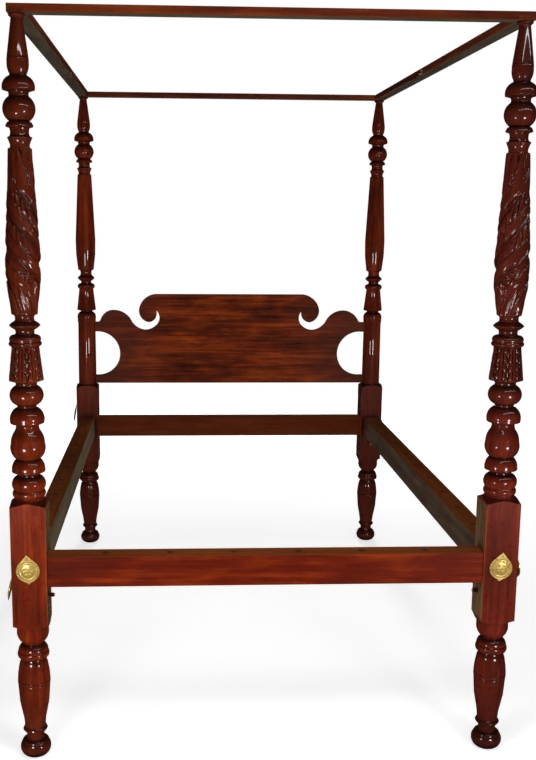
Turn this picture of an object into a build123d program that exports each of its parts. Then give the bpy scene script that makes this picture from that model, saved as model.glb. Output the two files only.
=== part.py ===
"""Tester bed: four turned posts, bolted rails, a scrolled headboard and an open tester frame.

Millimetres.  +Z up, X across the bed, Y along it with the headboard at +Y.  The origin lies on
the floor under the centre of the bed.  Every piece is written to parts/ as its own STEP file.
"""
from build123d import *
import os
from math import asin, cos, hypot, radians, sin

# ---------------------------------------------------------------- driving dimensions
POST_SPACING_X = 1376.0      # between post axes across the bed
POST_SPACING_Y = 2028.0      # between post axes along the bed
POST_HEIGHT = 2132.0
BLOCK = 101.6                # square of the post's uncut block, four inches
BLOCK_EASE = 1.8             # rounding of the blocks' worn edges
BLOCK_LOW = 424.0            # heights of the block's lower and upper corners
BLOCK_HIGH = 782.0

RAIL_LOW = 542.0             # underside of all four rails
RAIL_DEPTH = 92.0
RAIL_THICK = 66.0
RAIL_EASE = 1.5              # rounding of the rails' long edges
FOOT_RAIL_SHIFT = -11.0      # foot and head rails sit a little off the posts' axes
HEAD_RAIL_SHIFT = -7.0

TENON_LENGTH = 25.0
TENON_THICK = 26.0
TENON_LOW = 555.0
TENON_HIGH = 621.0
WOOD_GAP = 0.25              # clearance round each tenon in its mortise
MORTISE_EXTRA = 1.0          # space left past each tenon's end

TESTER_WIDTH = 48.0
TESTER_THICK = 22.0
TESTER_PIN_RADIUS = 4.0
TESTER_PIN_SINK = 45.0       # length of the pin inside the post
TESTER_PIN_RISE = 19.0       # length of the pin above the post

BOARD_THICK = 25.0
BOARD_LOW = 798.5
BOARD_TOP = 1226.0
TONGUE_REACH = 22.0          # the board's tongues end this far from the post's axis
TONGUE_LOWER_TOP = 836.0
TONGUE_UPPER_LOW = 1048.0
TONGUE_UPPER_TOP = 1093.0
BOARD_EYE_X = 620.0          # centre and radius of the round cut beside each post
BOARD_EYE_Z = 942.0
BOARD_EYE_RADIUS = 106.5
BOARD_EYE_MOUTH_X = 633.0    # where the cut's edge turns off to the tongues
BOARD_SPREAD = {-1: 17.0, 1: 5.0}    # the hand-cut halves differ: how far each stands out

BOLT_RADIUS = 4.75
BOLT_HOLE_GAP = 0.35
BOLT_IN_RAIL = 92.0          # how far a bolt runs into the rail, from the post's inner face
BOLT_HEAD_SIDE = 15.0
BOLT_HEAD_THICK = 9.0
WASHER_THICK = 1.5
WASHER_RADIUS = 11.5
SINK_RADIUS = 12.5           # round sinking that holds the bolt's head
BOLT_Z = {"x": 575.0, "y": 594.0}    # bolts along X pass below the bolts along Y
SINK_DEPTH = {"x": 3.5, "y": 11.0, "foot_left_x": 11.0, "head_left_x": 11.0}
NUT_SIDE = 19.0
NUT_THICK = 8.0
NUT_FROM_FACE = 76.0         # nut's middle, from the post's inner face
NUT_GAP = 0.5

PLATE_RADIUS = 33.5          # bolt cover
PLATE_THICK = 1.4
NAIL_ABOVE_BOLT = 36.0
PLATE_POINT = 11.0           # plate's top point above the nail
PLATE_POINT_HALF = 1.6
PLATE_CREST_DROP = 3.5       # the top's sloping corners, below the point
PLATE_CREST_HALF = 4.5
PLATE_SHOULDER_X = 26.1      # where the top's sides meet the round
PLATE_SHOULDER_RISE = 20.8
PLATE_TIP = 37.5             # plate's bottom tip below its centre
PLATE_TIP_HALF = 5.0
PLATE_TIP_ROOT = 27.0        # where the tip's sides leave the round, below its centre
PLATE_TIP_ROOT_HALF = 15.0
STUD_RADIUS = 3.2            # stud at the tip
STUD_RISE = 2.6
STUD_ABOVE_TIP = 2.0
RING_RADIUS = 24.0
RING_HALF_WIDTH = 3.6
RING_RISE = 3.4
RIM_INSET = 2.0
RIM_HALF_WIDTH = 1.4
RIM_RISE = 1.0
ROSETTE_RADIUS = 19.0
ROSETTE_RISE = 2.6
PETALS = 6
PETAL_OUT = 10.0
PETAL_RADIUS = 5.6
PETAL_RISE = 2.6
PETAL_LIFT = 1.0
BUTTON_RADIUS = 4.4
BUTTON_RISE = 3.2
BUTTON_LIFT = 1.4
BUTTON_ROOT = 0.5            # raised details are rooted this deep in what carries them
NAIL_RADIUS = 1.5
NAIL_RUNNING_GAP = 0.05
NAIL_SINK = 20.0
NAIL_START = 3.0             # nail holes are cut from this far outside the face
NAIL_HEAD_RADIUS = 3.4
NAIL_HEAD_RISE = 1.8
NAIL_HEAD_GAP = 0.35
PLATE_LIFT = {"x": 6.5, "y": 0.5, "foot_left_x": 2.8}    # back off the post's face, at the nail
PLATE_LEAN = {"x": 8.0, "y": 0.0, "foot_left_x": 11.0}   # degrees that the foot stands away
PLATE_TURN = {"x": 0.0, "y": 0.0, "foot_left_y": 4.4, "foot_right_y": -5.0}    # hung askew
NAIL_ASIDE = {"x": 0.0, "y": 0.0, "foot_left_y": -5.5, "foot_right_y": 3.4}    # along +X
NAIL_UP = {"x": 5.0, "y": 0.0, "foot_left_x": -51.0, "foot_right_y": -5.0, "head_left_x": 68.0}

PLUG_RADIUS = 9.5
PLUG_LENGTH = 30.0
PLUG_GAP = 0.15
PLUG_DEPTH = 0.4             # plugs lie this far below the rail's top
PLUGS_END_RAIL = 6
PLUGS_END_PITCH = 188.4
PLUGS_SIDE_RAIL = 9
PLUGS_SIDE_PITCH = 194.0

PEG_RADIUS = 6.2
PEG_OUT = 13.5               # iron peg's length outside the post
PEG_IN = 30.0
PEG_Z = 503.0
PEG_TIP_RADIUS = 4.0
PEG_TIP_LENGTH = 3.0

HOOK_Y = 60.0                # small hook on the right tester rail
HOOK_WIRE = 1.6
HOOK_BEND = 7.0
HOOK_STEM = 9.0
HOOK_SINK = 14.0
HOOK_SWEEP = 230             # degrees that its end curls round
HOOK_FLANGE_THICK = 1.6
HOOK_FLANGE_RADIUS = 4.2
HOOK_BALL_RADIUS = 2.0

# ---------------------------------------------------------------- derived dimensions
HALF_X = POST_SPACING_X / 2
HALF_Y = POST_SPACING_Y / 2
HALF_BLOCK = BLOCK / 2
CORNER = hypot(HALF_BLOCK, HALF_BLOCK)
RAIL_TOP = RAIL_LOW + RAIL_DEPTH
TESTER_LAP = TESTER_THICK / 2
CORNERS = {
    "foot_left": (-1, -1),
    "foot_right": (1, -1),
    "head_left": (-1, 1),
    "head_right": (1, 1),
}

# ---------------------------------------------------------------- turned profiles
# Each step is (height, radius, bulge), from the top down.  The bulge is how far the arc to that
# point stands out of its chord: positive swells, negative hollows, zero is a straight cut.

CROWN = [
    (POST_HEIGHT, 19.0, 0), (2124, 19.5, 3.2), (2121, 16.5, 0), (2117, 16.3, -0.4),
    (2021.4, 28.9, 0.6), (2020, 27.9, 0), (2018.6, 29.2, 0), (2008, 29.6, 0.3), (1976, 23.2, 2.4),
    (1973, 23.6, 0), (1971, 27.0, 0), (1936.5, 44.0, 6.4), (1934.5, 43.4, 0.5), (1930, 28.6, 0),
    (1918, 27.6, -1.2), (1852.6, 27.0, 17.2), (1851, 32.0, 0), (1840.2, 37.6, 0.8),
    (1837.6, 36.2, 0.5), (1835, 27.4, 0), (1814, 27.4, -1.9), (1810.5, 33.8, 0),
    (1808.4, 33.4, 0.4), (1789, 26.4, -0.6),
]
CARVED_SHAFT = [(1783, 27.6, 0), (1780.5, 33.4, 0.5), (1480, 50.0, 1.6), (1330, 36.8, 4.2)]
FOOT_MIDDLE = [
    (1326, 28.2, 0), (1311, 28.2, -1.6), (1309.5, 31.0, 0), (1300, 43.0, 0.6), (1297.6, 43.0, 0.4),
    (1288, 31.0, 0.6), (1286.5, 27.6, 0), (1273, 27.2, -1.2), (1271.5, 33.0, 0),
    (1254.5, 43.2, 5.4), (1252.6, 43.2, 0), (1240, 41.0, 4.0), (1237.6, 38.4, 0),
    (1235.5, 39.2, 0), (1144, 49.6, -1.8), (1141.4, 48.8, 0.6), (1137, 31.0, 0),
    (1127.5, 30.4, -0.8), (1072, 30.4, 17.6), (1070, 27.4, 0), (1064, 27.4, -0.6),
    (1062, 33.6, 0), (1022.6, 48.2, 6.2), (1018.8, 46.0, 1.0), (1014, 33.4, 0),
    (1008, 32.6, -0.4), (998, 34.8, -0.3), (957, 48.2, 2.4), (914.6, 33.2, 7.2),
    (912.4, 37.0, 0), (881, 47.2, 3.4),
    (877, 46.2, 0.8), (872, 30.8, 0), (865, 30.2, -0.6), (863.4, 36.6, 0), (825.6, 43.4, 8.2),
    (823.6, 43.4, 0), (803.6, 43.6, 4.0), (801.6, 42.8, 0), (799, 43.6, 0),
    (BLOCK_HIGH, CORNER, -2.6),
]
PLAIN_SHAFT = [(1783, 27.6, 0), (1780.5, 32.0, 0.5), (1480, 46.2, 1.8), (1341, 36.4, 3.2)]
HEAD_MIDDLE = [
    (1337, 27.4, 0), (1316, 27.0, -1.6), (1312, 31.0, 0), (1302.6, 39.4, 0.8), (1300.4, 39.2, 0.4),
    (1290, 29.0, 0.4), (1288, 24.4, 0), (1278, 24.4, -0.8), (1276, 30.0, 0), (1252, 34.0, 8.4),
    (1249, 33.0, 0), (1154, 44.0, -1.2), (1151, 43.0, 0.6), (1147, 28.0, 0), (1142, 28.0, -0.4),
    (1140, 33.4, 0), (1112, 43.2, 4.0), (1088, 41.4, 0.6), (1085.4, 40.2, 0), (1083, 40.6, 0),
    (938.6, 41.6, 0), (937, 40.2, 0), (935.4, 41.6, 0), (794, 42.2, 0),
    (BLOCK_HIGH - 7, CORNER, 3.4),
]
LEG = [
    (BLOCK_LOW, CORNER, 0), (411, 47.4, -1.4), (400, 46.6, 0.2), (359, 31.0, 6.0),
    (356, 29.8, 0), (353.6, 33.4, 0), (335, 44.0, 2.6), (333.4, 43.2, 0), (331.8, 44.6, 0),
    (322, 46.4, 1.0), (312.4, 38.0, 2.6), (311, 34.6, 0), (308, 34.8, 0), (288, 42.6, 1.4),
    (243.4, 48.0, 1.0), (241.6, 46.4, 0), (240, 47.9, 0.2), (233.4, 47.9, 0.3),
    (231.8, 46.2, 0), (230, 47.2, 0), (119, 32.8, 3.4),
    (98, 30.6, -0.4), (93, 30.6, 0), (85.4, 35.8, 0.6), (83.4, 35.6, 0.4), (76, 29.4, 0.4),
    (73, 27.2, 0), (55, 27.2, -1.6), (52.6, 33.0, 0), (46.4, 39.2, 1.0), (45.4, 38.6, 0),
    (44.4, 39.6, 0), (4.0, 33.6, 8.6), (2.6, 27.6, 0), (0, 26.6, 0),
]


def turned(steps):
    """Solid turned about Z from profile steps, top down."""
    edges = []
    first_z, first_r, _ = steps[0]
    here = (first_r, first_z)
    edges.append(Line((0, first_z), here))
    for z, r, bulge in steps[1:]:
        there = (r, z)
        if bulge == 0:
            edges.append(Line(here, there))
        else:
            run = hypot(there[0] - here[0], there[1] - here[1])
            out = ((here[1] - there[1]) / run, (there[0] - here[0]) / run)
            middle = (
                (here[0] + there[0]) / 2 + bulge * out[0],
                (here[1] + there[1]) / 2 + bulge * out[1],
            )
            edges.append(ThreePointArc(here, middle, there))
        here = there
    edges.append(Line(here, (0, here[1])))
    edges.append(Line((0, here[1]), (0, first_z)))
    return revolve(Plane.XZ * make_face(edges), Axis.Z)


def bar(x, y, z):
    """Box from three (low, high) pairs."""
    low = (min(x), min(y), min(z))
    size = (max(x) - low[0], max(y) - low[1], max(z) - low[2])
    return Pos(*low) * Box(*size, align=(Align.MIN, Align.MIN, Align.MIN))


def eased(body, along, radius):
    """Take the sharpness off a bar's long edges."""
    return fillet(body.edges().filter_by(along), radius)


def rod(start, direction, length, radius):
    """Round rod from a start point along a direction."""
    return Plane(start, z_dir=direction) * Cylinder(
        radius, length, align=(Align.CENTER, Align.CENTER, Align.MIN)
    )


def square_rod(start, direction, length, side):
    """Square rod from a start point along a row axis."""
    return Plane(start, x_dir=(0, 0, 1), z_dir=direction) * Box(
        side, side, length, align=(Align.CENTER, Align.CENTER, Align.MIN)
    )


def setting(table, corner, way):
    """A table's value for one bolt or cover, or else for its way."""
    return table.get(f"{corner}_{way}", table[way])


def outward(corner, way):
    """Unit vector out of the bed at a corner, along X or along Y."""
    sx, sy = CORNERS[corner]
    return (sx, 0, 0) if way == "x" else (0, sy, 0)


def from_post(corner, way, out, z):
    """Point on a post's middle plane, so far out from its axis along one way."""
    sx, sy = CORNERS[corner]
    dx, dy, _ = outward(corner, way)
    return (sx * HALF_X + dx * out, sy * HALF_Y + dy * out, z)


# ---------------------------------------------------------------- posts
def mortises(corner):
    """Everything cut out of a post: mortises, bolt holes, nail, peg and pin holes."""
    cuts = []
    for way in ("x", "y"):
        dx, dy, _ = outward(corner, way)
        inner = from_post(corner, way, -HALF_BLOCK, 0)
        depth = TENON_LENGTH + MORTISE_EXTRA
        end = (inner[0] + dx * depth, inner[1] + dy * depth)
        half = TENON_THICK / 2 + WOOD_GAP
        span_x = (inner[0] - dx, end[0]) if dx else (inner[0] - half, inner[0] + half)
        span_y = (inner[1] - dy, end[1]) if dy else (inner[1] - half, inner[1] + half)
        cuts.append(bar(span_x, span_y, (TENON_LOW - WOOD_GAP, TENON_HIGH + WOOD_GAP)))
        inward = (-dx, -dy, 0)
        face = from_post(corner, way, HALF_BLOCK, BOLT_Z[way])
        cuts.append(rod(face, inward, BLOCK, BOLT_RADIUS + BOLT_HOLE_GAP))
        cuts.append(rod(face, inward, setting(SINK_DEPTH, corner, way), SINK_RADIUS))
        nail = nail_point(corner, way)
        into = nail_inward(corner, way)
        outside = tuple(n - NAIL_START * i for n, i in zip(nail, into))
        cuts.append(rod(outside, into, NAIL_START + NAIL_SINK + 1, NAIL_RADIUS))
    top = from_post(corner, "x", 0, POST_HEIGHT)
    cuts.append(rod(top, (0, 0, -1), TESTER_PIN_SINK, TESTER_PIN_RADIUS))
    cuts.append(rod(*peg_seat(corner), PEG_IN, PEG_RADIUS))
    return cuts


def board_mortises(corner):
    """Two mortises that hold the headboard's tongues."""
    sx, sy = CORNERS[corner]
    near = sx * (HALF_X - TONGUE_REACH + MORTISE_EXTRA)
    far = sx * (HALF_X - HALF_BLOCK)
    half = BOARD_THICK / 2 + WOOD_GAP
    span_y = (HALF_Y - half, HALF_Y + half)
    lower = bar((near, far), span_y, (BOARD_LOW - WOOD_GAP, TONGUE_LOWER_TOP + WOOD_GAP))
    upper = bar((near, far), span_y, (TONGUE_UPPER_LOW - WOOD_GAP, TONGUE_UPPER_TOP + WOOD_GAP))
    return [lower, upper]


def post(corner):
    """One post: turned, then squared at the block, with its joints cut."""
    sx, sy = CORNERS[corner]
    if sy < 0:
        steps = CROWN + CARVED_SHAFT + FOOT_MIDDLE + LEG
    else:
        steps = CROWN + PLAIN_SHAFT + HEAD_MIDDLE + LEG
    square = Box(BLOCK, BLOCK, POST_HEIGHT, align=(Align.CENTER, Align.CENTER, Align.MIN))
    square = eased(square, Axis.Z, BLOCK_EASE)
    body = Pos(sx * HALF_X, sy * HALF_Y, 0) * (turned(steps) & square)
    cuts = mortises(corner)
    if sy > 0:
        cuts += board_mortises(corner)
    for cut in cuts:
        body -= cut
    return body


# ---------------------------------------------------------------- rails
def peg_holes(rail, centres):
    """Cut the old rope-peg holes down into a rail's top."""
    for x, y in centres:
        rail -= rod((x, y, RAIL_TOP), (0, 0, -1), PLUG_LENGTH + PLUG_DEPTH + 1, PLUG_RADIUS + PLUG_GAP)
    return rail


def end_rail_plugs(sy):
    """Centres of the plugs along the foot or head rail."""
    shift = FOOT_RAIL_SHIFT if sy < 0 else HEAD_RAIL_SHIFT
    first = -PLUGS_END_PITCH * (PLUGS_END_RAIL - 1) / 2
    return [(first + i * PLUGS_END_PITCH, sy * HALF_Y + shift) for i in range(PLUGS_END_RAIL)]


def side_rail_plugs(sx):
    """Centres of the plugs along a side rail."""
    first = -PLUGS_SIDE_PITCH * (PLUGS_SIDE_RAIL - 1) / 2
    return [(sx * HALF_X, first + i * PLUGS_SIDE_PITCH) for i in range(PLUGS_SIDE_RAIL)]


def bolt_line(way, along, across):
    """Bolt hole and nut pocket at both ends of a rail; along is the post spacing's half."""
    cuts = []
    z = BOLT_Z[way]
    for side in (-1, 1):
        face = side * (along - HALF_BLOCK)
        inward = -side
        half_nut = NUT_THICK / 2 + NUT_GAP
        half_side = NUT_SIDE / 2 + NUT_GAP
        middle = face + inward * NUT_FROM_FACE
        span = (middle - half_nut, middle + half_nut)
        wide = (across - half_side, across + half_side)
        tall = (RAIL_LOW - 1, z + half_side)
        reach = BOLT_IN_RAIL + TENON_LENGTH + 2
        start = face - inward * TENON_LENGTH
        hole_radius = BOLT_RADIUS + BOLT_HOLE_GAP
        if way == "x":
            cuts.append(rod((start, across, z), (inward, 0, 0), reach, hole_radius))
            cuts.append(bar(span, wide, tall))
        else:
            cuts.append(rod((across, start, z), (0, inward, 0), reach, hole_radius))
            cuts.append(bar(wide, span, tall))
    return cuts


def end_rail(sy):
    """Foot or head rail, with a stub tenon at each end."""
    shift = FOOT_RAIL_SHIFT if sy < 0 else HEAD_RAIL_SHIFT
    y = sy * HALF_Y
    shoulder = HALF_X - HALF_BLOCK
    half = RAIL_THICK / 2
    rail = bar((-shoulder, shoulder), (y + shift - half, y + shift + half), (RAIL_LOW, RAIL_TOP))
    rail = eased(rail, Axis.X, RAIL_EASE)
    long = shoulder + TENON_LENGTH
    tenon = TENON_THICK / 2
    rail += bar((-long, long), (y - tenon, y + tenon), (TENON_LOW, TENON_HIGH))
    for cut in bolt_line("x", HALF_X, y):
        rail -= cut
    return peg_holes(rail, end_rail_plugs(sy))


def side_rail(sx):
    """Left or right rail, with a stub tenon at each end."""
    x = sx * HALF_X
    shoulder = HALF_Y - HALF_BLOCK
    half = RAIL_THICK / 2
    rail = bar((x - half, x + half), (-shoulder, shoulder), (RAIL_LOW, RAIL_TOP))
    rail = eased(rail, Axis.Y, RAIL_EASE)
    long = shoulder + TENON_LENGTH
    tenon = TENON_THICK / 2
    rail += bar((x - tenon, x + tenon), (-long, long), (TENON_LOW, TENON_HIGH))
    for cut in bolt_line("y", HALF_Y, x):
        rail -= cut
    return peg_holes(rail, side_rail_plugs(sx))


def plugs(centres):
    """Turned wooden plugs that fill a rail's old rope-peg holes."""
    top = RAIL_TOP - PLUG_DEPTH
    return [rod((x, y, top), (0, 0, -1), PLUG_LENGTH, PLUG_RADIUS) for x, y in centres]


# ---------------------------------------------------------------- headboard
def board_half(side):
    """One half of the board's outline, drawn towards +X; side is -1 for the left half."""
    out = BOARD_SPREAD[side]
    mouth_x = BOARD_EYE_MOUTH_X
    tongue = HALF_X - TONGUE_REACH
    rise = (BOARD_EYE_RADIUS ** 2 - (mouth_x - BOARD_EYE_X) ** 2) ** 0.5
    foot = 613 + out / 2
    edges = [
        Line((0, BOARD_TOP), (338 + out, BOARD_TOP)),
        ThreePointArc((338 + out, BOARD_TOP), (394 + out, 1204), (421 + out, 1157)),
        ThreePointArc((421 + out, 1157), (409 + out, 1112), (380 + out, 1093)),
        ThreePointArc((380 + out, 1093), (350 + out, 1103), (338 + out, 1126)),
        ThreePointArc((338 + out, 1126), (336.6 + out, 1137), (339 + out, 1149)),
        ThreePointArc((339 + out, 1149), (327.6 + out, 1132), (324 + out, 1112)),
        ThreePointArc((324 + out, 1112), (330 + out, 1090), (346 + out, 1072)),
        ThreePointArc((346 + out, 1072), (368 + out, 1059), (393 + out, 1055)),
        ThreePointArc((393 + out, 1055), (429 + out, 1067), (457 + out, 1096)),
        ThreePointArc((457 + out, 1096), (492 + out, 1135), (537 + out, 1149)),
        ThreePointArc((537 + out, 1149), (582 + out, 1137), (foot, 1105)),
        ThreePointArc((foot, 1105), (foot + 6, 1096.5), (632, TONGUE_UPPER_TOP)),
        Line((632, TONGUE_UPPER_TOP), (tongue, TONGUE_UPPER_TOP)),
        Line((tongue, TONGUE_UPPER_TOP), (tongue, TONGUE_UPPER_LOW)),
        Line((tongue, TONGUE_UPPER_LOW), (mouth_x, BOARD_EYE_Z + rise)),
        ThreePointArc(
            (mouth_x, BOARD_EYE_Z + rise),
            (BOARD_EYE_X - BOARD_EYE_RADIUS + out, BOARD_EYE_Z),
            (mouth_x, BOARD_EYE_Z - rise),
        ),
        Line((mouth_x, BOARD_EYE_Z - rise), (tongue, TONGUE_LOWER_TOP)),
        Line((tongue, TONGUE_LOWER_TOP), (tongue, BOARD_LOW)),
        Line((tongue, BOARD_LOW), (0, BOARD_LOW)),
        Line((0, BOARD_LOW), (0, BOARD_TOP)),
    ]
    face = Plane.XZ * make_face(edges)
    half = Pos(0, HALF_Y, 0) * extrude(face, BOARD_THICK / 2, both=True)
    return half if side > 0 else mirror(half, Plane.YZ)


def headboard():
    """Scrolled board with a round eye cut beside each post and tongues into the posts."""
    return board_half(1) + board_half(-1)


# ---------------------------------------------------------------- tester
def tester_rail(way, sign):
    """One tester rail; rails along X lap over the rails along Y at the corners."""
    half = TESTER_WIDTH / 2
    base = POST_HEIGHT
    split = base + TESTER_LAP
    top = base + TESTER_THICK
    if way == "x":
        y = sign * HALF_Y
        rail = bar((-HALF_X - half, HALF_X + half), (y - half, y + half), (split, top))
        rail += bar((-HALF_X + half, HALF_X - half), (y - half, y + half), (base, split))
    else:
        x = sign * HALF_X
        rail = bar((x - half, x + half), (-HALF_Y - half, HALF_Y + half), (base, split))
        rail += bar((x - half, x + half), (-HALF_Y + half, HALF_Y - half), (split, top))
    for corner in CORNERS:
        seat = from_post(corner, "x", 0, base)
        rail -= rod(seat, (0, 0, 1), TESTER_THICK, TESTER_PIN_RADIUS + WOOD_GAP)
    if way == "y" and sign > 0:
        inner = (HALF_X - half, HOOK_Y, base + TESTER_LAP)
        rail -= rod(inner, (1, 0, 0), HOOK_SINK + 1, HOOK_WIRE)
    return rail


def tester_pin(corner):
    """Iron pin in a post's top that keys the lapped corner."""
    foot = from_post(corner, "x", 0, POST_HEIGHT - TESTER_PIN_SINK)
    return rod(foot, (0, 0, 1), TESTER_PIN_SINK + TESTER_PIN_RISE, TESTER_PIN_RADIUS)


def tester_hook():
    """Small brass screw hook on the inner edge of the right tester rail."""
    x = HALF_X - TESTER_WIDTH / 2
    z = POST_HEIGHT + TESTER_LAP
    stem = rod((x + HOOK_SINK, HOOK_Y, z), (-1, 0, 0), HOOK_SINK + HOOK_STEM, HOOK_WIRE)
    flange = rod((x, HOOK_Y, z), (-1, 0, 0), HOOK_FLANGE_THICK, HOOK_FLANGE_RADIUS)
    bend_plane = Plane((x - HOOK_STEM, HOOK_Y, z - HOOK_BEND), x_dir=(0, 0, 1), z_dir=(0, 1, 0))
    bend = bend_plane * Torus(HOOK_BEND, HOOK_WIRE, major_angle=HOOK_SWEEP)
    end = radians(HOOK_SWEEP)
    low = bend_plane * Pos(HOOK_BEND * cos(end), HOOK_BEND * sin(end), 0)
    return stem + flange + bend + low * Sphere(HOOK_BALL_RADIUS)


# ---------------------------------------------------------------- bolts
def bolt(corner, way):
    """Square-headed bed bolt through a post into a rail's end."""
    dx, dy, _ = outward(corner, way)
    inward = (-dx, -dy, 0)
    sink = setting(SINK_DEPTH, corner, way)
    seat = from_post(corner, way, HALF_BLOCK - sink, BOLT_Z[way])
    length = BLOCK - sink + BOLT_IN_RAIL
    shank = rod(seat, inward, length, BOLT_RADIUS)
    head = square_rod(seat, (dx, dy, 0), BOLT_HEAD_THICK, BOLT_HEAD_SIDE)
    washer = rod(seat, (dx, dy, 0), WASHER_THICK, WASHER_RADIUS)
    return shank + head + washer


def nut(corner, way):
    """Square nut let into a rail from below."""
    dx, dy, _ = outward(corner, way)
    out = -HALF_BLOCK - NUT_FROM_FACE + NUT_THICK / 2
    start = from_post(corner, way, out, BOLT_Z[way])
    inward = (-dx, -dy, 0)
    body = square_rod(start, inward, NUT_THICK, NUT_SIDE)
    return body - rod(start, inward, NUT_THICK, BOLT_RADIUS + NAIL_RUNNING_GAP)


# ---------------------------------------------------------------- bolt covers
def nail_point(corner, way):
    """Where a cover's nail enters the post's face."""
    z = BOLT_Z[way] + NAIL_ABOVE_BOLT + setting(NAIL_UP, corner, way)
    x, y, z = from_post(corner, way, HALF_BLOCK, z)
    return (x + setting(NAIL_ASIDE, corner, way), y, z)


def nail_inward(corner, way):
    """Direction a cover's nail is driven; leaning covers have a nail tipped to match."""
    dx, dy, _ = outward(corner, way)
    lean = radians(setting(PLATE_LEAN, corner, way))
    return (-dx * cos(lean), -dy * cos(lean), -sin(lean))


def plate_lift(corner, way):
    """Length of nail between the post's face and the plate's back."""
    return setting(PLATE_LIFT, corner, way) / cos(radians(setting(PLATE_LEAN, corner, way)))


def nail_plane(corner, way):
    """Plane of a cover at rest: origin on the nail at the plate's back, Z out, Y up the plate."""
    dx, dy, _ = outward(corner, way)
    back = nail_inward(corner, way)
    lift = plate_lift(corner, way)
    origin = tuple(n - b * lift for n, b in zip(nail_point(corner, way), back))
    out = tuple(-b for b in back)
    side = (-dy, dx, 0)
    return Plane(origin, x_dir=side, z_dir=out)


def cover_blank():
    """Stamped bolt cover lying in XY, hung at the origin, its centre straight below."""
    centre = -NAIL_ABOVE_BOLT
    shoulder = centre + PLATE_SHOULDER_RISE
    crest = PLATE_POINT - PLATE_CREST_DROP
    root = centre - PLATE_TIP_ROOT
    foot = centre - PLATE_TIP + STUD_ABOVE_TIP
    outline = Pos(0, centre) * Circle(PLATE_RADIUS)
    outline += make_face(Polyline(
        (-PLATE_SHOULDER_X, shoulder), (-PLATE_CREST_HALF, crest),
        (-PLATE_POINT_HALF, PLATE_POINT), (PLATE_POINT_HALF, PLATE_POINT),
        (PLATE_CREST_HALF, crest), (PLATE_SHOULDER_X, shoulder),
        close=True,
    ))
    outline += make_face(Polyline(
        (-PLATE_TIP_ROOT_HALF, root), (-PLATE_TIP_HALF, foot), (PLATE_TIP_HALF, foot),
        (PLATE_TIP_ROOT_HALF, root),
        close=True,
    ))
    plate = extrude(outline, PLATE_THICK)
    middle = Pos(0, centre, PLATE_THICK)
    plate += middle * domed_ring(RING_RADIUS, RING_HALF_WIDTH, RING_RISE)
    plate += middle * domed_ring(PLATE_RADIUS - RIM_INSET, RIM_HALF_WIDTH, RIM_RISE)
    plate += middle * dome(ROSETTE_RADIUS, ROSETTE_RISE)
    for i in range(PETALS):
        petal = Pos(PETAL_OUT, 0, PETAL_LIFT) * dome(PETAL_RADIUS, PETAL_RISE)
        plate += middle * Rot(0, 0, 360 / PETALS * i) * petal
    plate += middle * Pos(0, 0, BUTTON_LIFT) * dome(BUTTON_RADIUS, BUTTON_RISE)
    plate += Pos(0, foot, 0) * Cylinder(
        STUD_RADIUS, STUD_RISE, align=(Align.CENTER, Align.CENTER, Align.MIN)
    )
    hole = Cylinder(NAIL_RADIUS + NAIL_RUNNING_GAP, 4 * PLATE_THICK)
    return plate - hole


def domed_ring(radius, half_width, rise):
    """Ring of half-oval section that stands on the XY plane."""
    near = radius - half_width
    far = radius + half_width
    face = make_face([
        Line((near, -BUTTON_ROOT), (far, -BUTTON_ROOT)),
        Line((far, -BUTTON_ROOT), (far, 0)),
        ThreePointArc((far, 0), (radius, rise), (near, 0)),
        Line((near, 0), (near, -BUTTON_ROOT)),
    ])
    return revolve(Plane.XZ * face, Axis.Z)


def dome(radius, rise):
    """Low round button, a cap of a sphere, that stands on the XY plane."""
    ball = (radius ** 2 + rise ** 2) / (2 * rise)
    half_angle = asin(radius / ball) / 2
    middle = (ball * sin(half_angle), rise - ball + ball * cos(half_angle))
    face = make_face([
        Line((0, -BUTTON_ROOT), (radius, -BUTTON_ROOT)),
        Line((radius, -BUTTON_ROOT), (radius, 0)),
        ThreePointArc((radius, 0), middle, (0, rise)),
        Line((0, rise), (0, -BUTTON_ROOT)),
    ])
    return revolve(Plane.XZ * face, Axis.Z)


def cover(blank, corner, way):
    """A cover in its place, hanging from its nail."""
    return nail_plane(corner, way) * Rot(0, 0, setting(PLATE_TURN, corner, way)) * blank


def cover_nail(corner, way):
    """Round-headed brass nail that a cover turns on."""
    plane = nail_plane(corner, way)
    under_head = PLATE_THICK + NAIL_HEAD_GAP
    length = NAIL_SINK + plate_lift(corner, way) + under_head
    shank = Pos(0, 0, under_head - length) * Cylinder(
        NAIL_RADIUS, length + BUTTON_ROOT, align=(Align.CENTER, Align.CENTER, Align.MIN)
    )
    head = Pos(0, 0, under_head + BUTTON_ROOT) * dome(NAIL_HEAD_RADIUS, NAIL_HEAD_RISE)
    return plane * (shank + head)


# ---------------------------------------------------------------- pegs under the rails
def peg_seat(corner):
    """Start point on the post's face and the direction into the post."""
    sx, sy = CORNERS[corner]
    way = "x" if sy < 0 else "y"
    dx, dy, _ = outward(corner, way)
    return from_post(corner, way, -HALF_BLOCK, PEG_Z), (dx, dy, 0)


def under_rail_peg(corner):
    """Round iron peg let into a post below the rails."""
    start, into = peg_seat(corner)
    outer = tuple(s - d * PEG_OUT for s, d in zip(start, into))
    return rod(outer, into, PEG_OUT + PEG_IN, PEG_RADIUS)


def peg_tip(corner):
    """Brass stud on the peg's outer end."""
    start, into = peg_seat(corner)
    tip = tuple(s - d * (PEG_OUT + PEG_TIP_LENGTH) for s, d in zip(start, into))
    return rod(tip, into, PEG_TIP_LENGTH, PEG_TIP_RADIUS)


# ---------------------------------------------------------------- write every node
def write(node, solids):
    """Write one node's solid, or its group of separate solids, to its STEP file."""
    shape = Compound(children=solids) if isinstance(solids, list) else solids
    export_step(shape, f"parts/{node}.step")


os.makedirs("parts", exist_ok=True)

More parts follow.
